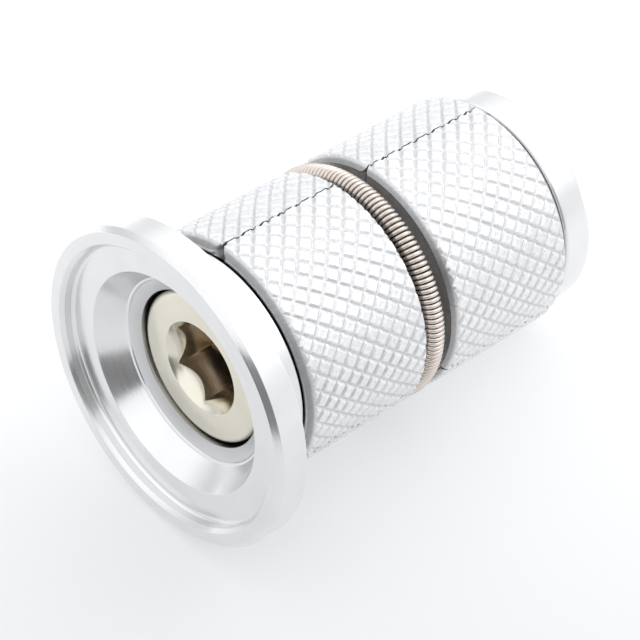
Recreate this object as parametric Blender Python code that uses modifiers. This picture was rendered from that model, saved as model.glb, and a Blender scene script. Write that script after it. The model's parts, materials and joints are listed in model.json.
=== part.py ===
"""Expander plug for the steerer tube of a bicycle fork, in metres with +Z up.

Every piece is turned about the plug's own axis. In the local frame of the empty plug_axis that axis
is Z: height 0 is the front plane of the flange and the plug reaches down from there, as it hangs in
a steerer tube. The empty then lays the plug on its side, where it rests on the flange's rim and on
the rear edge of the grip segments. The local frame is in millimetres, the empty scales nothing: all
lengths pass through MM where a mesh is made.
"""

import math

import bmesh
import bpy
from mathutils import Matrix

MM = 0.001
NAME = "expander_plug"

# Turned surfaces have this many facets, and one of them is flat to the ground.
FACETS = 60
HALF_FACET = math.pi / FACETS

# Flange: it sits on the end of a steerer tube of 28.6 mm.
FLANGE_R = 15.05
FLANGE_BACK = -3.0
EDGE = 0.15
RIM_CHAMFER = 0.47
LIP_R = 13.5
LIP_CHAMFER = 0.35
CAP_SEAT_R = 12.8
CAP_SEAT = -1.3
DISH_R = 10.44
DISH_FLOOR_R = 8.9
DISH_FLOOR = -3.65
COLLAR_R = 10.4
COLLAR_BACK = -6.55
FRONT_CONE_R = 9.8
HUB_R = 8.6
HUB_BACK = -13.55
COUNTERBORE_R = 7.45
COUNTERBORE_TOP = -4.23
COUNTERBORE_FLOOR = -11.8

# Bolt: M10 shank, head flush with the floor of the dish.
HEAD_R = 7.0
HEAD_TOP = -4.4
HEAD_BACK = -10.4
HEAD_EDGE = 0.4
SHANK_R = 4.9
SHANK_HOLE_R = 5.0
SHANK_BACK = -41.15
CAP_SCREW_R = 2.5
KEY_ACROSS_FLATS = 7.0
KEY_FLOOR = -9.4
KEY_MOUTH_R = 4.38
KEY_MOUTH_SLOPE = math.radians(30)

WASHER_R = 7.0
WASHER_HOLE_R = 5.35
WASHER_TOP = -10.7
WASHER_BACK = -11.5

# Grip segments: one knurled sleeve sawn into three.
GRIP_R = 11.34
GRIP_END_R = 10.7
GRIP_TOP = -7.0
GRIP_BACK = -38.1
GRIP_BORE_R = 8.0
GRIP_MOUTH_R = 8.95
GRIP_MOUTH_BACK = -14.15
GROOVE_R = 8.8
GROOVE_TOP = -20.35
GROOVE_BACK = -23.85
GROOVE_CHAMFER = 0.6
SAW_KERF = 0.3
SEGMENTS = 3
FIRST_SLIT = math.radians(98.5)

SPRING_R = 10.22
SPRING_COIL_R = 1.13
SPRING_HEIGHT = -22.05

# Cone nut: its cone is as steep as the flange's, 45 degrees.
NUT_R = 10.6
NUT_TOP = -35.5
NUT_SHOULDER = -38.6
NUT_BACK = -41.85
NUT_EDGE = 0.5
NUT_BORE_R = 5.25
NUT_CONE_R = 9.6
CONE_GAP = 0.34
CONE_CLEARANCE = CONE_GAP * math.sqrt(2)

ALUMINIUM = ("aluminium", (0.80, 0.80, 0.82), 0.28)
KNURLED = ("knurled_aluminium", (0.84, 0.84, 0.86), 0.38)
NICKEL = ("nickel_plated_steel", (0.62, 0.57, 0.47), 0.32)
SPRING_STEEL = ("spring_steel", (0.46, 0.38, 0.32), 0.30)


def nut_cone_radius(height):
    return NUT_CONE_R - (height - NUT_SHOULDER)


def height_where_nut_cone_is(radius):
    return NUT_SHOULDER + (NUT_CONE_R - radius)


# Outlines as (radius, height), down the outer side and back up the inner one.
FLANGE_OUTLINE = [
    (LIP_R, 0),
    (FLANGE_R - RIM_CHAMFER, 0),
    (FLANGE_R, -RIM_CHAMFER),
    (FLANGE_R, FLANGE_BACK + EDGE),
    (FLANGE_R - EDGE, FLANGE_BACK),
    (COLLAR_R, FLANGE_BACK),
    (COLLAR_R, COLLAR_BACK + EDGE),
    (COLLAR_R - EDGE, COLLAR_BACK),
    (FRONT_CONE_R, COLLAR_BACK),
    (HUB_R, COLLAR_BACK - (FRONT_CONE_R - HUB_R)),
    (HUB_R, HUB_BACK),
    (SHANK_HOLE_R, HUB_BACK),
    (SHANK_HOLE_R, COUNTERBORE_FLOOR),
    (COUNTERBORE_R, COUNTERBORE_FLOOR),
    (COUNTERBORE_R, COUNTERBORE_TOP),
    (DISH_FLOOR_R, DISH_FLOOR),
    (DISH_R, CAP_SEAT),
    (CAP_SEAT_R, CAP_SEAT),
    (LIP_R - LIP_CHAMFER, CAP_SEAT + LIP_CHAMFER),
    (LIP_R - LIP_CHAMFER, -LIP_CHAMFER),
]
BOLT_OUTLINE = [
    (CAP_SCREW_R, HEAD_TOP),
    (HEAD_R - HEAD_EDGE, HEAD_TOP),
    (HEAD_R, HEAD_TOP - HEAD_EDGE),
    (HEAD_R, HEAD_BACK),
    (SHANK_R, HEAD_BACK),
    (SHANK_R, SHANK_BACK + HEAD_EDGE),
    (SHANK_R - HEAD_EDGE, SHANK_BACK),
    (CAP_SCREW_R, SHANK_BACK),
]
WASHER_OUTLINE = [
    (WASHER_R, WASHER_TOP),
    (WASHER_R, WASHER_BACK),
    (WASHER_HOLE_R, WASHER_BACK),
    (WASHER_HOLE_R, WASHER_TOP),
]
FRONT_CONE_CLEAR_R = FRONT_CONE_R + CONE_CLEARANCE - (COLLAR_BACK - GRIP_TOP)
GRIP_OUTLINE = [
    (GRIP_END_R, GRIP_TOP),
    (GRIP_R, GRIP_TOP - (GRIP_R - GRIP_END_R)),
    (GRIP_R, GROOVE_TOP),
    (GROOVE_R, GROOVE_TOP),
    (GROOVE_R, GROOVE_BACK),
    (GRIP_R - GROOVE_CHAMFER, GROOVE_BACK),
    (GRIP_R, GROOVE_BACK - GROOVE_CHAMFER),
    (GRIP_R, GRIP_BACK + (GRIP_R - GRIP_END_R)),
    (GRIP_END_R, GRIP_BACK),
    (nut_cone_radius(GRIP_BACK) + CONE_CLEARANCE, GRIP_BACK),
    (GRIP_BORE_R, height_where_nut_cone_is(GRIP_BORE_R - CONE_CLEARANCE)),
    (GRIP_BORE_R, GRIP_MOUTH_BACK - (GRIP_MOUTH_R - GRIP_BORE_R)),
    (GRIP_MOUTH_R, GRIP_MOUTH_BACK),
    (GRIP_MOUTH_R, GRIP_TOP - (FRONT_CONE_CLEAR_R - GRIP_MOUTH_R)),
    (FRONT_CONE_CLEAR_R, GRIP_TOP),
]
NUT_OUTLINE = [
    (nut_cone_radius(NUT_TOP), NUT_TOP),
    (NUT_CONE_R, NUT_SHOULDER),
    (NUT_R, NUT_SHOULDER),
    (NUT_R, NUT_BACK + NUT_EDGE),
    (NUT_R - NUT_EDGE, NUT_BACK),
    (NUT_BORE_R, NUT_BACK),
    (NUT_BORE_R, NUT_TOP),
]

# Lying down: the axis dips towards the rear until flange and segments both touch the ground.
FLAT = math.cos(HALF_FACET)
GRIP_HEEL = GRIP_BACK + (GRIP_R - GRIP_END_R)
FLANGE_HEEL = FLANGE_BACK + EDGE
DIP = math.atan((FLANGE_R - GRIP_R) * FLAT / (FLANGE_HEEL - GRIP_HEEL))
AXIS_HEIGHT = FLANGE_R * FLAT * math.cos(DIP) - FLANGE_HEEL * math.sin(DIP)
FRONT_END = -(FLANGE_R - RIM_CHAMFER) * FLAT * math.sin(DIP)
BACK_END = -NUT_BACK * math.cos(DIP) + (NUT_R - NUT_EDGE) * FLAT * math.sin(DIP)


def clear_scene():
    for obj in list(bpy.data.objects):
        bpy.data.objects.remove(obj, do_unlink=True)


def new_collection(name):
    collection = bpy.data.collections.new(name)
    bpy.context.scene.collection.children.link(collection)
    return collection


def new_material(finish):
    name, colour, roughness = finish
    found = bpy.data.materials.get(name)
    if found:
        return found
    material = bpy.data.materials.new(name)
    material.use_nodes = True
    shader = material.node_tree.nodes["Principled BSDF"]
    shader.inputs["Base Color"].default_value = (*colour, 1.0)
    shader.inputs["Roughness"].default_value = roughness
    shader.inputs["Metallic"].default_value = 1.0
    return material


def add_object(name, mesh, collection, finish=None):
    obj = bpy.data.objects.new(name, mesh)
    collection.objects.link(obj)
    obj.parent = plug_axis
    if finish:
        mesh.materials.append(new_material(finish))
    return obj


def turned(name, outline, finish):
    """A closed outline of (radius, height) turned once about the local Z axis."""
    mesh = bpy.data.meshes.new(name)
    build = bmesh.new()
    cos, sin = math.cos(HALF_FACET), math.sin(HALF_FACET)
    corners = [build.verts.new((r * cos * MM, r * sin * MM, z * MM)) for r, z in outline]
    for here, there in zip(corners, corners[1:] + corners[:1]):
        build.edges.new((here, there))
    build.to_mesh(mesh)
    build.free()
    obj = add_object(name, mesh, parts, finish)
    screw = obj.modifiers.new("turn", "SCREW")
    screw.axis = "Z"
    screw.steps = FACETS
    screw.render_steps = FACETS
    screw.use_merge_vertices = True
    screw.merge_threshold = 0.00001
    screw.use_smooth_shade = False
    return obj


def cut(obj, name, mesh):
    cutter = add_object(name, mesh, cutters)
    cutter.hide_render = True
    cutter.display_type = "WIRE"
    boolean = obj.modifiers.new(name, "BOOLEAN")
    boolean.operation = "DIFFERENCE"
    boolean.solver = "EXACT"
    boolean.object = cutter


def cone_mesh(name, top_r, top, bottom_r, bottom, sides):
    """A prism or a cone frustum about the local Z axis, with corners on the given radii."""
    mesh = bpy.data.meshes.new(name)
    build = bmesh.new()
    bmesh.ops.create_cone(
        build,
        cap_ends=True,
        segments=sides,
        radius1=bottom_r * MM,
        radius2=top_r * MM,
        depth=(top - bottom) * MM,
        matrix=Matrix.Translation((0, 0, (top + bottom) / 2 * MM)),
    )
    build.to_mesh(mesh)
    build.free()
    return mesh


def half_space_mesh(name, angle, side):
    """A block whose one face is a saw cut along the axis at this angle, filling one side of it."""
    reach = 2 * FLANGE_R
    length = -NUT_BACK
    offset = side * (reach / 2 - SAW_KERF / 2)
    mesh = bpy.data.meshes.new(name)
    build = bmesh.new()
    place = (
        Matrix.Rotation(angle, 4, "Z")
        @ Matrix.Translation((0, offset * MM, -length / 2 * MM))
        @ Matrix.Diagonal((2 * reach * MM, reach * MM, 2 * length * MM, 1))
    )
    bmesh.ops.create_cube(build, size=1.0, matrix=place)
    build.to_mesh(mesh)
    build.free()
    return mesh


def add_flange():
    turned("flange_cup", FLANGE_OUTLINE, ALUMINIUM)


def add_bolt():
    bolt = turned("expander_bolt", BOLT_OUTLINE, NICKEL)
    over = 1.0
    key_r = KEY_ACROSS_FLATS / 2 / math.cos(math.pi / 6)
    cut(bolt, "key_socket", cone_mesh("key_socket", key_r, HEAD_TOP + over, key_r, KEY_FLOOR, 6))
    widening = over * math.tan(KEY_MOUTH_SLOPE)
    depth = KEY_MOUTH_R / math.tan(KEY_MOUTH_SLOPE) / 2
    mouth = cone_mesh(
        "key_mouth",
        KEY_MOUTH_R + widening,
        HEAD_TOP + over,
        KEY_MOUTH_R / 2,
        HEAD_TOP - depth,
        FACETS,
    )
    cut(bolt, "key_mouth", mouth)
    turned("bolt_washer", WASHER_OUTLINE, NICKEL)


def add_grip_segments():
    share = 2 * math.pi / SEGMENTS
    for number in range(SEGMENTS):
        name = f"grip_segment_{number + 1}"
        end = FIRST_SLIT - number * share
        segment = turned(name, GRIP_OUTLINE, KNURLED)
        cut(segment, name + "_start_cut", half_space_mesh(name + "_start_cut", end - share, -1))
        cut(segment, name + "_end_cut", half_space_mesh(name + "_end_cut", end, 1))


def add_spring():
    bpy.ops.mesh.primitive_torus_add(
        major_segments=FACETS,
        minor_segments=10,
        major_radius=SPRING_R * MM,
        minor_radius=SPRING_COIL_R * MM,
    )
    made = bpy.context.active_object
    mesh = made.data
    bpy.data.objects.remove(made, do_unlink=True)
    spring = add_object("garter_spring", mesh, parts, SPRING_STEEL)
    spring.location.z = SPRING_HEIGHT * MM


def add_nut():
    turned("cone_nut", NUT_OUTLINE, ALUMINIUM)


clear_scene()
parts = new_collection(NAME)
cutters = new_collection("cutters")
plug_axis = bpy.data.objects.new("plug_axis", None)
parts.objects.link(plug_axis)
plug_axis.rotation_euler = (math.pi / 2 - DIP, 0, 0)
plug_axis.location = (0, -(FRONT_END + BACK_END) / 2 * MM, AXIS_HEIGHT * MM)
add_flange()
add_bolt()
add_grip_segments()
add_spring()
add_nut()
for piece in parts.objects:
    if piece.type == "MESH":
        piece.data.shade_smooth()
        piece.data.set_sharp_from_angle(angle=math.radians(30))
bpy.context.view_layer.update()
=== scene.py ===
"""Looks of the headset expander plug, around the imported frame.

Every piece is made in the plug's own frame, in millimetres: height 0 is the front plane of the
flange, heights go down to the nut, and angles run from the row frame's +X towards up. The matrix
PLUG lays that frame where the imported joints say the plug's axis is.
"""

import json
import math

import bmesh
import bpy
import numpy as np
from mathutils import Matrix, Vector


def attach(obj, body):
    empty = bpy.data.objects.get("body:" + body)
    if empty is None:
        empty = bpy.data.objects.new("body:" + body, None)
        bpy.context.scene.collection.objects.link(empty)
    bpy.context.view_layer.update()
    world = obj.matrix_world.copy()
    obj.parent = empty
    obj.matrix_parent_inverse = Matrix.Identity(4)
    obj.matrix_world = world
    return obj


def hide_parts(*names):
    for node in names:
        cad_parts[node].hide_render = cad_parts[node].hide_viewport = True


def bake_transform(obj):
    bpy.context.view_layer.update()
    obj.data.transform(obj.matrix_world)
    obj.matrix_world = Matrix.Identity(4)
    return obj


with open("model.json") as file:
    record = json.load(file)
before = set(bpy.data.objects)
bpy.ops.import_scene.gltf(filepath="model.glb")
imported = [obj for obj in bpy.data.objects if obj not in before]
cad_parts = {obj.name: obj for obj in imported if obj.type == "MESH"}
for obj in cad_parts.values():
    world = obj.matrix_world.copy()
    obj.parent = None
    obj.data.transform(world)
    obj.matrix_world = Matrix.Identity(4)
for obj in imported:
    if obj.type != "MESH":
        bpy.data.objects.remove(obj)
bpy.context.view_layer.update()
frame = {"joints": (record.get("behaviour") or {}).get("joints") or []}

MM = 0.001
TURN = 2 * math.pi
SHARP = math.radians(34)
SIDES = 240

# Flange, with the collar and the front cone behind it.
FLANGE_R = 15.025
FLANGE_BACK = -3.0
RIM_FACE_R = 14.57
RIM_CHAMFER = 0.47
LIP_R = 13.5
LIP_CHAMFER = 0.35
CAP_SEAT_R = 12.95
CAP_SEAT = -1.3
DISH_R = 10.44
DISH_FLOOR_R = 8.9
DISH_FLOOR = -3.65
TOOL_MARK_R = 8.62
TOOL_MARK = -3.85
COLLAR_R = 10.36
COLLAR_BACK = -6.86
FRONT_CONE_R = 10.06
HUB_R = 8.6
HUB_BACK = -13.55
COUNTERBORE_R = 7.45
COUNTERBORE_TOP = -4.23
COUNTERBORE_FLOOR = -11.8
BOLT_HOLE_R = 5.0
WASHER_R = 7.0
WASHER_HOLE_R = 5.35
WASHER_TOP = -10.7
WASHER_BACK = -11.5

# Bolt: M10 x 1.25 outside, M6 x 1 in its bore.
HEAD_R = 7.25
HEAD_TOP = -4.4
HEAD_BACK = -10.4
HEAD_EDGE = 0.6
KEY_APOTHEM = 3.5
KEY_MOUTH_R = 4.38
KEY_MOUTH_SLOPE = math.radians(30)
KEY_FLOOR = -9.4
KEY_CORNER = math.radians(34.3)
KEY_CORNER_CUT = 0.10
BOLT_SIDES = 288
SHANK_R = 4.9
SHANK_ROOT_R = 4.1
SHANK_BACK = -41.15
SHANK_THREAD_TOP = -30.95
SHANK_PITCH = 1.25
BORE_R = 2.5
BORE_ROOT_R = 3.0
BORE_THREAD_TOP = -18.5
BORE_PITCH = 1.0
THREADS_BACK = -40.7

# Grip segments.
GRIP_R = 11.34
GRIP_END_R = 10.7
GRIP_TOP = -7.0
GRIP_BACK = -38.22
GRIP_BORE_R = 8.0
GRIP_MOUTH_R = 8.95
GRIP_MOUTH_BACK = -14.15
FRONT_MOUTH_R = 10.35
REAR_MOUTH_R = 9.58
REAR_CONE_TOP = -36.52
GROOVE_R = 8.8
GROOVE_TOP = -20.35
GROOVE_BACK = -23.85
GROOVE_CHAMFER = 0.6
SEGMENTS = 3
SHARE = TURN / SEGMENTS
FIRST_SLIT = math.radians(98.5)
SLIT = 0.14

# Knurl: two families of grooves. Along each, the phase is per mm of depth and per turn.
LATTICE = np.array([[0.493, 41.0], [-0.58, 38.0]])
# Distance to the nearest groove, as a share of the pitch, and the height there.
KNURL_SHARE = [0.0, 0.035, 0.17, 0.21, 0.30, 0.50]
KNURL_HEIGHT = [-0.21, -0.20, -0.02, 0.0, -0.015, -0.045]
KNURL_CORE_R = 5.0
# The knurled sheet and the forms that trim it reach past the segment.
KNURL_DEPTHS = np.array([6.4, 38.9])
KNURL_OVER_ANGLE = 0.03
OVER = 0.1
WITHIN_GRIP = 6
BEYOND_GRIP = 13

# Garter spring.
SPRING_R = 10.22
SPRING_COIL_R = 1.13
SPRING_HEIGHT = -22.05
COILS = 144
WIRE_R = 0.212
WIRE_CLEARANCE = 0.005
WIRE_STEPS = 20
WIRE_SIDES = 8
# A share of a segment's angle from the saw cut; make_spring finds a point on the spring there, which
# nothing uses.
SPRING_BEND = 0.28

# Nut: M10 x 1.25.
NUT_R = 10.58
NUT_TOP = -35.5
NUT_SHOULDER = -38.6
NUT_CONE_R = 9.6
NUT_BACK = -41.85
NUT_RECESS_R = 6.2
NUT_RECESS = 0.6
NUT_ROOT_R = 5.35
NUT_CREST_R = 5.0

# Painted shade, by radius: the share of the colour each radius keeps, low on the knurl's chamfers and
# groove floors, in the bevel round the bolt's head and on the spring's coils towards the axis;
# SOCKET_SHADE is painted shade inside the key socket.
KNURL_SHADE = [
    (8.9, 1.0),
    (10.6, 0.95),
    (10.72, 0.40),
    (11.0, 0.46),
    (11.13, 0.79),
    (11.30, 0.98),
    (11.34, 1.0),
]
FLANGE_SHADE = [(7.4, 0.66), (8.5, 0.78), (8.75, 1.0), (15.1, 1.0)]
SPRING_SHADE = [(9.1, 0.35), (10.3, 0.7), (10.9, 0.95), (11.35, 1.0)]
SOCKET_SHADE = (0.78, 0.71, 0.67)

# The camera, found on the photo while the plug's axis dipped by VIEW_DIP. It stays with the plug.
VIEW_AZIMUTH = math.radians(47.408)
VIEW_ELEVATION = math.radians(47.404)
VIEW_DIP = math.radians(6.235)
CAMERA_PLACE = (13.436, 5.981, 230.027)
CAMERA_LENS = 154.0
CAMERA_SENSOR = 36

# Studio, in metres.
AIM = Vector((0, 0, 0.015))
LAMP_WHITE = (0.985, 0.99, 1.0, 1)
FLOOR_SIZE = 3.0
FLOOR_GREY = (0.38, 0.385, 0.39, 1)


def joint(name):
    return next(j for j in frame["joints"] if j["name"] == name)


def plug_matrix():
    """The plug's own frame in the row frame, from the nut's slide and a point on the bolt's axis."""
    out = Vector(joint("nut_pull")["axis"]).normalized()
    across = Vector((1, 0, 0))
    origin = Vector(joint("bolt_turn")["pos_m"]) - out * HEAD_BACK * MM
    turn = Matrix((across, out.cross(across), out)).transposed()
    return Matrix.Translation(origin) @ turn.to_4x4()


PLUG = plug_matrix()


# ---------------------------------------------------------------- meshes


def ring_points(radius, angle, height):
    """Points at those radii, angles and heights about the plug's axis."""
    radius, angle, height = np.broadcast_arrays(radius, angle, height)
    return np.stack([radius * np.cos(angle), radius * np.sin(angle), height], -1)


def add_object(name, data):
    obj = bpy.data.objects.new(name, data)
    bpy.context.scene.collection.objects.link(obj)
    return obj


def solid(name, points, faces):
    """A new closed object, from points of the plug's own frame in millimetres."""
    mesh = bpy.data.meshes.new(name)
    faces = faces.tolist() if isinstance(faces, np.ndarray) else faces
    mesh.from_pydata(np.asarray(points, float) * MM, [], faces)
    mesh.transform(PLUG)
    build = bmesh.new()
    build.from_mesh(mesh)
    bmesh.ops.recalc_face_normals(build, faces=build.faces)
    build.to_mesh(mesh)
    build.free()
    return add_object(name, mesh)


def unit(vectors):
    return vectors / np.linalg.norm(vectors, axis=-1, keepdims=True)


def rounded(outline, steps=6):
    """A closed outline of (radius, height, rounding), with each rounded corner made an arc."""
    corners = np.array([p[:2] for p in outline], float)
    points = []
    for i, (_, _, rounding) in enumerate(outline):
        here = corners[i]
        back = corners[i - 1] - here
        on = corners[(i + 1) % len(corners)] - here
        room = min(np.linalg.norm(back), np.linalg.norm(on)) * 0.48
        back, on = unit(back), unit(on)
        half = math.acos(np.clip(back @ on, -1, 1)) / 2
        reach = min(rounding / math.tan(half), room) if rounding else 0
        if reach < 1e-4:
            points.append(here)
            continue
        centre = unit(back + on) * reach / math.cos(half)
        sweep = math.pi - 2 * half
        a = back * reach - centre
        b = on * reach - centre
        for t in np.linspace(0, 1, steps + 1):
            arm = (math.sin((1 - t) * sweep) * a + math.sin(t * sweep) * b) / math.sin(sweep)
            points.append(here + centre + arm)
    return np.array(points)


def grid_faces(rows, columns, closed_rows, closed_columns):
    """Quads over a grid of points, rows by columns."""
    i, j = np.meshgrid(
        np.arange(rows if closed_rows else rows - 1),
        np.arange(columns if closed_columns else columns - 1),
        indexing="ij",
    )
    i2, j2 = (i + 1) % rows, (j + 1) % columns
    faces = np.stack([i * columns + j, i * columns + j2, i2 * columns + j2, i2 * columns + j], -1)
    return faces.reshape(-1, 4)


def rings(name, stations, start=0.0, sides=SIDES):
    """A closed surface through rings: a station is a radius and a height, for all columns or one each."""
    angle = start + TURN * np.arange(sides) / sides
    points = np.array([ring_points(radius, angle, height) for radius, height in stations])
    return solid(name, points.reshape(-1, 3), grid_faces(len(stations), sides, True, True))


def turned(name, outline, sides=SIDES):
    """A closed outline turned about the plug's axis."""
    return rings(name, rounded(outline), sides=sides)


def combine(obj, other, operation):
    """Boolean of two closed meshes, applied. The other one is used up."""
    modifier = obj.modifiers.new("combine", "BOOLEAN")
    modifier.operation = operation
    modifier.solver = "MANIFOLD"
    modifier.object = other
    bpy.context.view_layer.update()
    graph = bpy.context.evaluated_depsgraph_get()
    mesh = bpy.data.meshes.new_from_object(obj.evaluated_get(graph))
    if not mesh.polygons:
        raise RuntimeError(f"{obj.name}: the {operation} with {other.name} left nothing")
    obj.modifiers.clear()
    obj.data = mesh
    bpy.data.objects.remove(other)


def smooth(obj, angle=SHARP):
    """Smooth shading that stops at edges and keeps wide flat faces flat."""
    obj.data.shade_smooth()
    obj.data.set_sharp_from_angle(angle=angle)
    weighted = obj.modifiers.new("weighted_normals", "WEIGHTED_NORMAL")
    weighted.keep_sharp = True
    weighted.weight = 80


def dress(obj, material):
    obj.data.materials.clear()
    obj.data.materials.append(material)


# ---------------------------------------------------------------- materials


class Nodes:
    """Short calls for building the shader of a material or a world."""

    def __init__(self, owner):
        owner.use_nodes = True
        self.owner = owner
        self.tree = owner.node_tree
        self.shader = self.tree.nodes.get("Principled BSDF")

    def add(self, kind, **settings):
        node = self.tree.nodes.new(kind)
        for key, value in settings.items():
            setattr(node, key, value)
        return node

    def put(self, value, socket):
        """Links an output to a socket, or sets the socket's value."""
        if isinstance(value, bpy.types.NodeSocket):
            self.tree.links.new(value, socket)
        else:
            socket.default_value = value

    def math(self, operation, a, b=0.0):
        node = self.add("ShaderNodeMath", operation=operation)
        self.put(a, node.inputs[0])
        self.put(b, node.inputs[1])
        return node.outputs[0]

    def split(self, vector):
        node = self.add("ShaderNodeSeparateXYZ")
        self.put(vector, node.inputs[0])
        return node.outputs

    def position(self):
        """The point on the piece at rest, in the plug's own frame and metres."""
        local = self.add("ShaderNodeMapping", vector_type="TEXTURE")
        local.inputs["Location"].default_value = PLUG.to_translation()
        local.inputs["Rotation"].default_value = PLUG.to_euler()
        self.put(self.add("ShaderNodeTexCoord").outputs["Object"], local.inputs["Vector"])
        return local.outputs[0]

    def radius_and_height(self):
        """The distance from the plug's axis and the height along it, in millimetres, as a vector."""
        x, y, z = self.split(self.position())
        squares = self.math("ADD", self.math("POWER", x, 2.0), self.math("POWER", y, 2.0))
        join = self.add("ShaderNodeCombineXYZ")
        self.put(self.math("DIVIDE", self.math("SQRT", squares), MM), join.inputs[0])
        self.put(self.math("DIVIDE", z, MM), join.inputs[1])
        return join.outputs[0]

    def noise(self, vector, scale, detail=3.0, roughness=0.5, dimensions="3D"):
        node = self.add("ShaderNodeTexNoise", noise_dimensions=dimensions)
        node.inputs["Scale"].default_value = scale
        node.inputs["Detail"].default_value = detail
        node.inputs["Roughness"].default_value = roughness
        self.put(vector, node.inputs["Vector"])
        return node.outputs["Fac"]

    def spread(self, value, low, high, out_low, out_high):
        node = self.add("ShaderNodeMapRange")
        for socket, number in zip(list(node.inputs)[1:5], (low, high, out_low, out_high)):
            socket.default_value = number
        self.put(value, node.inputs[0])
        return node.outputs[0]

    def ramp(self, value, stops):
        """The colour for a value, from stops of (place, colour)."""
        node = self.add("ShaderNodeValToRGB")
        elements = node.color_ramp.elements
        while len(elements) < len(stops):
            elements.new(0.5)
        for element, (place, colour) in zip(elements, stops):
            element.position = place
            element.color = (*colour, 1)
        self.put(value, node.inputs[0])
        return node.outputs[0]

    def multiply(self, colour, by, factor=1.0):
        node = self.add("ShaderNodeMix", data_type="RGBA", blend_type="MULTIPLY")
        self.put(factor, node.inputs["Factor"])
        self.put(colour, node.inputs[6])
        self.put(by, node.inputs[7])
        return node.outputs[2]

    def shaded_by_radius(self, colour, stops):
        """Painted shade: the colour, dimmed by how near the axis a point is. Stops are (radius, share of
        the light).
        """
        near, far = stops[0][0], stops[-1][0]
        shares = [((radius - near) / (far - near), (share,) * 3) for radius, share in stops]
        radius = self.split(self.radius_and_height())[0]
        return self.multiply(colour, self.ramp(self.spread(radius, near, far, 0.0, 1.0), shares))

    def shaded_in_socket(self, colour):
        """Painted shade: the colour, multiplied down to a deep one inside the key socket only."""
        radius, height, _ = self.split(self.radius_and_height())
        low = self.spread(height, HEAD_TOP - 2.6, HEAD_TOP - 0.9, 1.0, 0.0)
        inside = self.spread(radius, KEY_MOUTH_R + 0.07, KEY_MOUTH_R + 0.22, 1.0, 0.0)
        return self.multiply(colour, (*SOCKET_SHADE, 1), self.math("MULTIPLY", low, inside))

    def bump(self, height, depth):
        """A bump of that depth in millimetres, for a height from 0 to 1."""
        node = self.add("ShaderNodeBump")
        node.inputs["Strength"].default_value = 1.0
        node.inputs["Distance"].default_value = depth * MM
        self.put(height, node.inputs["Height"])
        return node.outputs[0]


def turned_metal(name, low, high, roughness, pitch, depth):
    """Turned metal: rings left by the tool, soft patches in the polish, uneven roughness."""
    n = Nodes(bpy.data.materials.new(name))
    lines = n.noise(n.radius_and_height(), 1 / pitch, roughness=0.6, dimensions="2D")
    patches = n.noise(n.position(), 260.0)
    n.put(n.ramp(patches, [(0.3, low), (0.7, high)]), n.shader.inputs["Base Color"])
    ringed = n.spread(lines, 0.3, 0.7, roughness - 0.04, roughness + 0.05)
    blotchy = n.spread(patches, 0.3, 0.7, -0.03, 0.03)
    n.put(n.math("ADD", blotchy, ringed), n.shader.inputs["Roughness"])
    n.put(n.bump(lines, depth), n.shader.inputs["Normal"])
    n.shader.inputs["Metallic"].default_value = 1.0
    return n


def repainted(n, change, *settings):
    """The material, its colour passed through one more change."""
    base = n.shader.inputs["Base Color"]
    n.put(change(base.links[0].from_socket, *settings), base)
    return n.owner


def aluminium(name):
    return turned_metal(
        name,
        low=(0.77, 0.775, 0.785),
        high=(0.82, 0.825, 0.83),
        roughness=0.20,
        pitch=0.10,
        depth=0.002,
    )


def flange_metal():
    """Turned aluminium, with painted shade in the bevel around the bolt's head."""
    n = aluminium("flange_aluminium")
    return repainted(n, n.shaded_by_radius, FLANGE_SHADE)


def knurled_metal():
    """Rolled and washed aluminium: a fine frosted grain, painted shade down on the chamfers and groove
    floors, mottled.
    """
    n = Nodes(bpy.data.materials.new("knurled_aluminium"))
    grain = n.noise(n.position(), 7000.0, roughness=0.6)
    patches = n.noise(n.position(), 300.0)
    unshaded = n.ramp(patches, [(0.3, (0.82, 0.825, 0.84)), (0.7, (0.88, 0.885, 0.89))])
    # Painted shade by radius, darkest on the chamfers and lighter on the knurl's groove floors.
    painted_shade = n.shaded_by_radius(unshaded, KNURL_SHADE)
    specks = n.noise(n.position(), 3200.0, roughness=0.6)
    mottled = n.multiply(painted_shade, n.spread(specks, 0.38, 0.58, 0.88, 1.0))
    n.put(mottled, n.shader.inputs["Base Color"])
    n.put(n.spread(grain, 0.3, 0.7, 0.29, 0.40), n.shader.inputs["Roughness"])
    n.put(n.bump(grain, 0.02), n.shader.inputs["Normal"])
    n.shader.inputs["Metallic"].default_value = 0.92
    return n.owner


def nickel_metal():
    """Warm nickel plate, with painted shade down in the key socket."""
    n = turned_metal(
        "nickel_plated_steel",
        low=(0.73, 0.70, 0.60),
        high=(0.79, 0.76, 0.66),
        roughness=0.20,
        pitch=0.12,
        depth=0.001,
    )
    return repainted(n, n.shaded_in_socket)


def spring_metal():
    """Bronze-tinted wire, with painted shade low on the coils, towards the axis."""
    n = turned_metal(
        "spring_steel",
        low=(0.65, 0.59, 0.54),
        high=(0.75, 0.68, 0.63),
        roughness=0.22,
        pitch=0.3,
        depth=0.0006,
    )
    return repainted(n, n.shaded_by_radius, SPRING_SHADE)


ALUMINIUM = aluminium("turned_aluminium").owner
FLANGE_METAL = flange_metal()
KNURLED = knurled_metal()
NICKEL = nickel_metal()
SPRING_STEEL = spring_metal()


# ---------------------------------------------------------------- turned pieces


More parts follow.
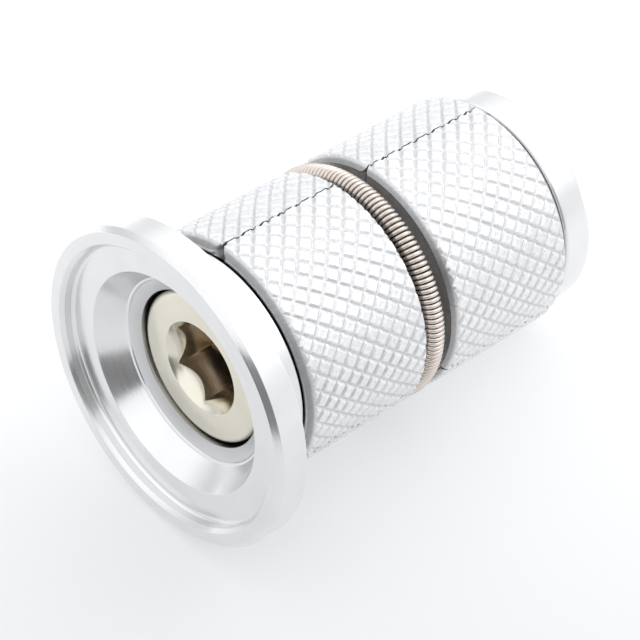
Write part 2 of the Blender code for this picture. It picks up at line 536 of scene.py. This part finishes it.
# Outlines are (radius, height, rounding of the corner).
FLANGE_OUTLINE = [
    (LIP_R, 0, 0.06),
    (RIM_FACE_R, 0, 0.05),
    (FLANGE_R, -RIM_CHAMFER, 0.05),
    (FLANGE_R, FLANGE_BACK, 0.15),
    (COLLAR_R, FLANGE_BACK, 0.1),
    (COLLAR_R, COLLAR_BACK, 0.25),
    (FRONT_CONE_R, COLLAR_BACK, 0.05),
    (HUB_R, COLLAR_BACK - (FRONT_CONE_R - HUB_R), 0.1),
    (HUB_R, HUB_BACK, 0.15),
    (BOLT_HOLE_R, HUB_BACK, 0.1),
    (BOLT_HOLE_R, COUNTERBORE_FLOOR, 0.05),
    (COUNTERBORE_R, COUNTERBORE_FLOOR, 0.2),
    (COUNTERBORE_R, COUNTERBORE_TOP, 0.06),
    (TOOL_MARK_R - 0.07, TOOL_MARK + 0.06, 0),
    (TOOL_MARK_R, TOOL_MARK, 0),
    (TOOL_MARK_R + 0.08, TOOL_MARK + 0.12, 0),
    (DISH_FLOOR_R, DISH_FLOOR, 0.06),
    (DISH_R, CAP_SEAT, 0.06),
    (CAP_SEAT_R, CAP_SEAT, 0.35),
    (LIP_R - LIP_CHAMFER, CAP_SEAT + 0.3, 0.3),
    (LIP_R - LIP_CHAMFER, -LIP_CHAMFER, 0.05),
]
WASHER_OUTLINE = [
    (WASHER_R, WASHER_TOP, 0.15),
    (WASHER_R, WASHER_BACK, 0.08),
    (WASHER_HOLE_R, WASHER_BACK, 0.08),
    (WASHER_HOLE_R, WASHER_TOP, 0.15),
]
HEAD_OUTLINE = [
    (0, HEAD_TOP, 0),
    (HEAD_R, HEAD_TOP, HEAD_EDGE),
    (HEAD_R, HEAD_BACK, 0.2),
    (0, HEAD_BACK, 0),
]
NUT_OUTLINE = [
    (NUT_CONE_R - (NUT_TOP - NUT_SHOULDER), NUT_TOP, 0.25),
    (NUT_CONE_R, NUT_SHOULDER, 0.1),
    (NUT_R, NUT_SHOULDER, 0.35),
    (NUT_R, NUT_BACK, 0.5),
    (NUT_RECESS_R, NUT_BACK, 0.1),
    (NUT_RECESS_R - NUT_RECESS, NUT_BACK + NUT_RECESS, 0),
]


def thread(sides, start, top, bottom, pitch, low_r, high_r):
    """Rings of a right-hand thread between two heights, from the top down, with faded ends."""
    rings_per_pitch = 14
    angle = start + TURN * np.arange(sides) / sides
    heights = np.linspace(top, bottom, int((top - bottom) / pitch * rings_per_pitch) + 1)
    made = []
    for height in heights:
        share = (height / pitch - angle / TURN) % 1.0
        crest = np.interp(share, [0, 0.1, 0.42, 0.58, 0.9, 1], [0, 0, 1, 1, 0, 0])
        fade = min(1.0, (top - height) / pitch, (height - bottom) / pitch)
        made.append((low_r + (high_r - low_r) * crest * fade, height))
    return made


def key_radius(angle):
    """Distance to the wall of the hexagon socket, its corners a little rounded."""
    part = (angle - KEY_CORNER) % (TURN / 6) - TURN / 12
    wall = KEY_APOTHEM / np.cos(part)
    corner = KEY_APOTHEM / math.cos(TURN / 12)
    over = np.maximum(0, wall - (corner - KEY_CORNER_CUT))
    return wall - over * over / (4 * KEY_CORNER_CUT)


def bolt_shank():
    """Stations down the outside of the shank and round its tip."""
    neck = [
        (SHANK_R + 0.05, HEAD_BACK - 0.05),
        (SHANK_R, HEAD_BACK - 0.2),
        (SHANK_R, SHANK_THREAD_TOP + 0.35),
        (SHANK_R - 0.15, SHANK_THREAD_TOP + 0.05),
    ]
    rod = thread(
        BOLT_SIDES, KEY_CORNER, SHANK_THREAD_TOP, THREADS_BACK, SHANK_PITCH, SHANK_ROOT_R, SHANK_R
    )
    tip = [
        (SHANK_ROOT_R + 0.2, THREADS_BACK - 0.05),
        (SHANK_R - 1.0, SHANK_BACK + 0.05),
        (SHANK_R - 1.1, SHANK_BACK),
        (BORE_R + 0.35, SHANK_BACK),
        (BORE_R, SHANK_BACK + 0.35),
    ]
    return neck + rod + tip


def bolt_inside():
    """Stations up the threaded bore, across the socket's floor and up its wall."""
    bore = thread(
        BOLT_SIDES, KEY_CORNER, BORE_THREAD_TOP, THREADS_BACK, BORE_PITCH, BORE_R, BORE_ROOT_R
    )
    wall = key_radius(KEY_CORNER + TURN * np.arange(BOLT_SIDES) / BOLT_SIDES)
    mouth = HEAD_TOP - (KEY_MOUTH_R - wall) / math.tan(KEY_MOUTH_SLOPE)
    floor = [
        (BORE_R, KEY_FLOOR - 0.5),
        (BORE_R + 0.4, KEY_FLOOR - 0.05),
        (BORE_R + 0.5, KEY_FLOOR),
        (wall - 0.15, KEY_FLOOR),
    ]
    socket = [
        (wall, KEY_FLOOR + 0.12),
        (wall, mouth - 0.05),
        (wall + 0.02, mouth + 0.04),
        (KEY_MOUTH_R - 0.03, HEAD_TOP - 0.06),
        (KEY_MOUTH_R + 0.04, HEAD_TOP),
    ]
    return bore[::-1] + floor + socket


def make_bolt():
    head = list(rounded(HEAD_OUTLINE)[1:-1])
    bolt = rings("bolt", head + bolt_shank() + bolt_inside(), KEY_CORNER, BOLT_SIDES)
    smooth(bolt)
    dress(bolt, NICKEL)
    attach(bolt, "bolt")
    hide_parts("expander_bolt")


def make_nut():
    lower = [(NUT_ROOT_R, NUT_BACK + 0.65), (NUT_ROOT_R, NUT_BACK + 0.75)]
    bore = thread(
        SIDES, 0.0, NUT_TOP - 0.4, NUT_BACK + 0.85, SHANK_PITCH, NUT_ROOT_R, NUT_CREST_R
    )
    upper = [(NUT_ROOT_R, NUT_TOP - 0.35), (NUT_ROOT_R + 0.45, NUT_TOP)]
    nut = rings("nut", list(rounded(NUT_OUTLINE)) + lower + bore[::-1] + upper)
    smooth(nut)
    dress(nut, ALUMINIUM)
    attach(nut, "nut")
    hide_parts("cone_nut")


def make_flange():
    flange = turned("flange", FLANGE_OUTLINE, sides=360)
    smooth(flange)
    dress(flange, FLANGE_METAL)
    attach(flange, "cup")
    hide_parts("flange_cup")


def make_washer():
    washer = turned("washer", WASHER_OUTLINE)
    smooth(washer)
    dress(washer, NICKEL)
    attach(washer, "cup")
    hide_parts("bolt_washer")


# ---------------------------------------------------------------- grip segments


GRIP_OUTLINE = [
    (GRIP_END_R, GRIP_TOP, 0.1),
    (GRIP_R + OVER, GRIP_TOP - (GRIP_R + OVER - GRIP_END_R), 0.15),
    (GRIP_R + OVER, GROOVE_TOP + 2 * OVER, 0),
    (GRIP_R - OVER, GROOVE_TOP, 0.05),
    (GROOVE_R, GROOVE_TOP, 0.25),
    (GROOVE_R, GROOVE_BACK, 0.25),
    (GRIP_R - GROOVE_CHAMFER, GROOVE_BACK, 0.06),
    (GRIP_R + OVER, GROOVE_BACK - GROOVE_CHAMFER - OVER, 0),
    (GRIP_R + OVER, GRIP_BACK + (GRIP_R + OVER - GRIP_END_R), 0.15),
    (GRIP_END_R, GRIP_BACK, 0.1),
    (REAR_MOUTH_R, GRIP_BACK, 0.08),
    (GRIP_BORE_R, REAR_CONE_TOP, 0.2),
    (GRIP_BORE_R, GRIP_MOUTH_BACK - (GRIP_MOUTH_R - GRIP_BORE_R), 0.1),
    (GRIP_MOUTH_R, GRIP_MOUTH_BACK, 0.1),
    (GRIP_MOUTH_R, GRIP_TOP - (FRONT_MOUTH_R - GRIP_MOUTH_R), 0.05),
    (FRONT_MOUTH_R, GRIP_TOP, 0.03),
]


def pitch_places():
    """Shares of a pitch at which the knurl has points, from one groove up to the next."""
    return np.array(KNURL_SHARE + [1 - s for s in KNURL_SHARE[-2:0:-1]])


def lattice_phases(angles):
    """Both families' phases at each row and column of points, over the sheet's depths and angles."""
    corners = np.array([(d, a / TURN) for d in KNURL_DEPTHS for a in angles]) @ LATTICE.T
    low = np.floor(corners.min(0)).astype(int) - 1
    high = np.ceil(corners.max(0)).astype(int) + 1
    lines = [(np.arange(a, b)[:, None] + pitch_places()).ravel() for a, b in zip(low, high)]
    return np.meshgrid(*lines, indexing="ij")


def knurl_height(p, q):
    """Height of the knurl over GRIP_R, from the two phases."""
    to_p = np.abs((p + 0.5) % 1 - 0.5)
    to_q = np.abs((q + 0.5) % 1 - 0.5)
    return np.interp(np.minimum(to_p, to_q), KNURL_SHARE, KNURL_HEIGHT)


def knurl_slab(name, middle):
    """A thick sheet over one segment's angle, its outer face knurled, on the lattice of the grooves."""
    angles = middle + np.array([-1, 1]) * (SHARE / 2 + KNURL_OVER_ANGLE)
    p, q = lattice_phases(angles)
    back = np.linalg.inv(LATTICE)
    depth = back[0, 0] * p + back[0, 1] * q
    angle = (back[1, 0] * p + back[1, 1] * q) * TURN
    inside = (depth > KNURL_DEPTHS[0]) & (depth < KNURL_DEPTHS[1])
    inside &= (angle > angles[0]) & (angle < angles[1])
    sheet = knurl_sheet(*p.shape, inside)
    outer = ring_points(GRIP_R + knurl_height(p, q), angle, -depth).reshape(-1, 3)
    inner = ring_points(KNURL_CORE_R, angle, -depth).reshape(-1, 3)
    points = np.concatenate([outer, inner])
    return solid(name, *trimmed(points, slab_faces(sheet, len(outer))))


def knurl_sheet(rows, columns, inside):
    """Triangles over the points that lie inside, each quad split along its crease."""
    faces = grid_faces(rows, columns, False, False)
    faces = faces[inside.ravel()[faces].any(1)]
    steps = len(pitch_places())
    return split_on_creases(faces, faces[:, 0] // columns % steps, faces[:, 0] % columns % steps, steps)


def split_on_creases(faces, i, j, steps):
    """Triangles whose shared edge lies on the crease where two grooves are equally near."""
    falling = i + j == steps - 1
    a, b, c, d = faces.T
    one = np.where(falling[:, None], np.stack([a, b, d], 1), np.stack([a, b, c], 1))
    two = np.where(falling[:, None], np.stack([b, c, d], 1), np.stack([a, c, d], 1))
    return np.concatenate([one, two])


def slab_faces(sheet, offset):
    """The sheet, its copy on the inner side turned round, and walls along the edge between them."""
    edges = np.concatenate([sheet[:, [0, 1]], sheet[:, [1, 2]], sheet[:, [2, 0]]])
    key = np.sort(edges, 1)
    _, index, count = np.unique(key, axis=0, return_index=True, return_counts=True)
    a, b = edges[index[count == 1]].T
    walls = np.concatenate(
        [np.stack([b, a, a + offset], 1), np.stack([b, a + offset, b + offset], 1)]
    )
    return np.concatenate([sheet, sheet[:, ::-1] + offset, walls])


def trimmed(points, faces):
    """Only the points in use."""
    used, index = np.unique(faces, return_inverse=True)
    return points[used], index.reshape(faces.shape)


def corner_setback(distance, radius):
    """How far a rounded corner draws the end back, at a distance from the side."""
    inside = np.clip(radius - distance, 0, radius)
    return radius - np.sqrt(radius * radius - inside * inside)


def column_block(angles, low, high, inner_r, outer_r):
    """A closed block between two radii, with its lowest and highest height given per angle."""
    radius = np.array([inner_r, outer_r, outer_r, inner_r])
    height = np.stack([low, low, high, high], 1)
    points = ring_points(radius, np.asarray(angles)[:, None], height).reshape(-1, 3)
    faces = grid_faces(len(angles), 4, False, True).tolist()
    last = 4 * (len(angles) - 1)
    faces.append([0, 1, 2, 3])
    faces.append([last + 3, last + 2, last + 1, last])
    return points, faces


def side_places(radius):
    """Distances from a saw cut, close together where a corner of that radius turns."""
    return radius * (1 - np.cos(np.linspace(0, math.pi / 2, 9)))


def half_angle():
    """Half of the angle that one segment fills."""
    return SHARE / 2 - SLIT / 2 / GRIP_R


def wedge(name, middle, corner=1.3):
    """The share of the sleeve that one segment keeps, its corners rounded, less so at the rear."""
    full = 2 * half_angle()
    near = side_places(corner) / GRIP_R
    first = near[-1] + 0.03
    along = np.concatenate([near, np.linspace(first, full - first, 48), full - near[::-1]])
    back = corner_setback(np.minimum(along, full - along) * GRIP_R, corner)
    angles = middle - full / 2 + along
    low = GRIP_BACK + 0.5 * back
    return solid(name, *column_block(angles, low, GRIP_TOP - back, WITHIN_GRIP, BEYOND_GRIP))


def groove_corners(name, middle, corner=0.5):
    """Cutters that round the corners between the saw cuts and the rear wall of the spring groove."""
    near = np.concatenate([[-0.1], side_places(corner)])
    low = GROOVE_BACK - corner_setback(np.maximum(near, 0), corner) - 1e-3
    high = np.full(len(near), GROOVE_BACK + 0.2)
    points = []
    faces = []
    for side in (-1, 1):
        angles = middle + side * (half_angle() - near / GRIP_R)
        block, sides = column_block(angles, low, high, GROOVE_R + 0.3, BEYOND_GRIP)
        faces += [[v + len(points) for v in face] for face in sides]
        points += block.tolist()
    return solid(name, points, faces)


def make_segments():
    for k in range(SEGMENTS):
        middle = FIRST_SLIT - (k + 0.5) * SHARE
        name = f"segment_{k + 1}"
        piece = knurl_slab(name, middle)
        combine(piece, turned("grip_form", GRIP_OUTLINE, sides=360), "INTERSECT")
        combine(piece, wedge("wedge", middle), "INTERSECT")
        combine(piece, groove_corners("corners", middle), "DIFFERENCE")
        smooth(piece)
        dress(piece, KNURLED)
        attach(piece, name)
        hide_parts(f"grip_{name}")


# ---------------------------------------------------------------- spring


def coil_arc(name, start, sweep):
    """A run of the garter spring's coils, as one closed tube along the wire."""
    count = round(COILS * abs(sweep) / TURN) * WIRE_STEPS + 1
    ring = start + sweep * np.linspace(0, 1, count)
    twist = COILS * ring
    helix = SPRING_COIL_R - WIRE_R - WIRE_CLEARANCE
    middle = ring_points(SPRING_R, ring, SPRING_HEIGHT)
    wire = ring_points(SPRING_R + helix * np.cos(twist), ring, SPRING_HEIGHT + helix * np.sin(twist))
    outward = unit(wire - middle)
    tangent = unit(np.gradient(wire, axis=0))
    side = unit(np.cross(tangent, outward))
    across = (TURN * np.arange(WIRE_SIDES) / WIRE_SIDES)[None, :, None]
    skin = np.cos(across) * outward[:, None] + np.sin(across) * side[:, None]
    points = (wire[:, None] + WIRE_R * skin).reshape(-1, 3)
    faces = grid_faces(count, WIRE_SIDES, False, True).tolist()
    faces.append(list(range(WIRE_SIDES)))
    faces.append(list(range((count - 1) * WIRE_SIDES, count * WIRE_SIDES))[::-1])
    return solid(name, points, faces)


def spring_spot(angle):
    """A point on the middle line of the spring, in the row frame."""
    return PLUG @ (Vector(ring_points(SPRING_R, angle, SPRING_HEIGHT)) * MM)


def make_spring():
    """Six arcs of the spring, each from a saw cut to the middle of a segment."""
    for k in range(SEGMENTS):
        middle = FIRST_SLIT - (k + 0.5) * SHARE
        for side, letter in ((-1, "a"), (1, "b")):
            cut = middle + side * SHARE / 2
            arc = coil_arc(f"spring_{k + 1}{letter}", cut, -side * SHARE / 2)
            smooth(arc, math.radians(60))
            dress(arc, SPRING_STEEL)
            held = cut - side * SHARE * SPRING_BEND
            spring_spot(cut)
            spring_spot(held)
            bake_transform(arc)
            if k == 0 and letter == "a":
                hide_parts("garter_spring")


# ---------------------------------------------------------------- stage


def view_turn():
    """The camera's right, up and back, as columns, in the plug's own frame."""
    sa, ca = math.sin(VIEW_AZIMUTH), math.cos(VIEW_AZIMUTH)
    se, ce = math.sin(VIEW_ELEVATION), math.cos(VIEW_ELEVATION)
    sd, cd = math.sin(VIEW_DIP), math.cos(VIEW_DIP)
    camera = Matrix(((ca, sa, 0), (-sa * se, ca * se, ce), (sa * ce, -ca * ce, se)))
    plug = Matrix(((1, 0, 0), (0, sd, cd), (0, -cd, sd)))
    return plug @ camera.transposed()


def make_camera():
    data = bpy.data.cameras.new("camera")
    data.lens = CAMERA_LENS
    data.sensor_width = CAMERA_SENSOR
    data.clip_start = 0.01
    camera = add_object("camera", data)
    turn = view_turn()
    place = Matrix.Translation(turn @ Vector(CAMERA_PLACE) * MM)
    camera.matrix_world = PLUG @ place @ turn.to_4x4()
    bpy.context.scene.camera = camera


def flat_sheet(name, width, height, material):
    mesh = bpy.data.meshes.new(name)
    w, h = width / 2, height / 2
    mesh.from_pydata([(-w, -h, 0), (w, -h, 0), (w, h, 0), (-w, h, 0)], [], [(0, 1, 2, 3)])
    mesh.materials.append(material)
    sheet = add_object(name, mesh)
    return sheet


def aim(obj, azimuth, elevation, distance):
    """Places an object round AIM, facing it. Azimuth 0 is the front, towards +X as it grows."""
    a, e = math.radians(azimuth), math.radians(elevation)
    way = Vector((math.sin(a) * math.cos(e), -math.cos(a) * math.cos(e), math.sin(e)))
    obj.location = AIM + way * distance
    obj.rotation_euler = way.to_track_quat("Z", "Y").to_euler()


def add_soft_box(name, width, height, watts):
    data = bpy.data.lights.new(name, "AREA")
    data.shape = "RECTANGLE"
    data.size = width
    data.size_y = height
    data.energy = watts
    return add_object(name, data)


def add_card(name, width, height, brightness):
    """A flat card that only the metal reflects."""
    n = Nodes(bpy.data.materials.new(name))
    n.tree.nodes.remove(n.shader)
    glow = n.add("ShaderNodeEmission")
    glow.inputs["Strength"].default_value = brightness
    n.put(glow.outputs[0], n.tree.nodes["Material Output"].inputs["Surface"])
    card = flat_sheet(name, width, height, n.owner)
    card.visible_camera = False
    card.visible_shadow = False
    card.visible_diffuse = False
    return card


def make_sky():
    """A white room: dimmer near the horizon, brighter behind the object than in front of it."""
    n = Nodes(bpy.data.worlds.new("studio"))
    _, back, up = n.split(n.add("ShaderNodeTexCoord").outputs["Generated"])
    overhead = n.spread(up, 0.22, 0.60, 0.80, 1.26)
    behind = n.spread(back, 0.0, 0.8, 0.0, 0.28)
    sky = n.tree.nodes["Background"]
    sky.inputs["Color"].default_value = LAMP_WHITE
    n.put(n.math("ADD", overhead, behind), sky.inputs["Strength"])
    bpy.context.scene.world = n.owner


def glowing_floor():
    """A white floor that glows as if lit from below: painted light, a little brighter on the side away
    from the camera.
    """
    n = Nodes(bpy.data.materials.new("floor"))
    away = n.add("ShaderNodeMapping")
    away.inputs["Rotation"].default_value = (0, 0, -VIEW_AZIMUTH)
    n.put(n.add("ShaderNodeTexCoord").outputs["Object"], away.inputs["Vector"])
    glow = n.spread(n.split(away.outputs[0])[1], -0.03, 0.05, 0.42, 0.75)
    n.put(glow, n.shader.inputs["Emission Strength"])
    n.shader.inputs["Emission Color"].default_value = LAMP_WHITE
    n.shader.inputs["Base Color"].default_value = FLOOR_GREY
    n.shader.inputs["Roughness"].default_value = 0.6
    return n.owner


def make_stage():
    flat_sheet("floor", FLOOR_SIZE, FLOOR_SIZE, glowing_floor())
    make_sky()
    behind = add_soft_box("behind", width=0.22, height=0.18, watts=0.12)
    aim(behind, azimuth=152, elevation=44, distance=0.30)
    left = add_card("camera_side", width=0.075, height=0.096, brightness=0.22)
    aim(left, azimuth=33, elevation=9, distance=0.14)
    right = add_card("camera_side_right", width=0.085, height=0.11, brightness=0.41)
    aim(right, azimuth=64, elevation=18, distance=0.14)
    bpy.context.scene.view_settings.view_transform = "Standard"


make_flange()
make_washer()
make_bolt()
make_segments()
make_spring()
make_nut()
make_camera()
make_stage()

bpy.context.view_layer.update()
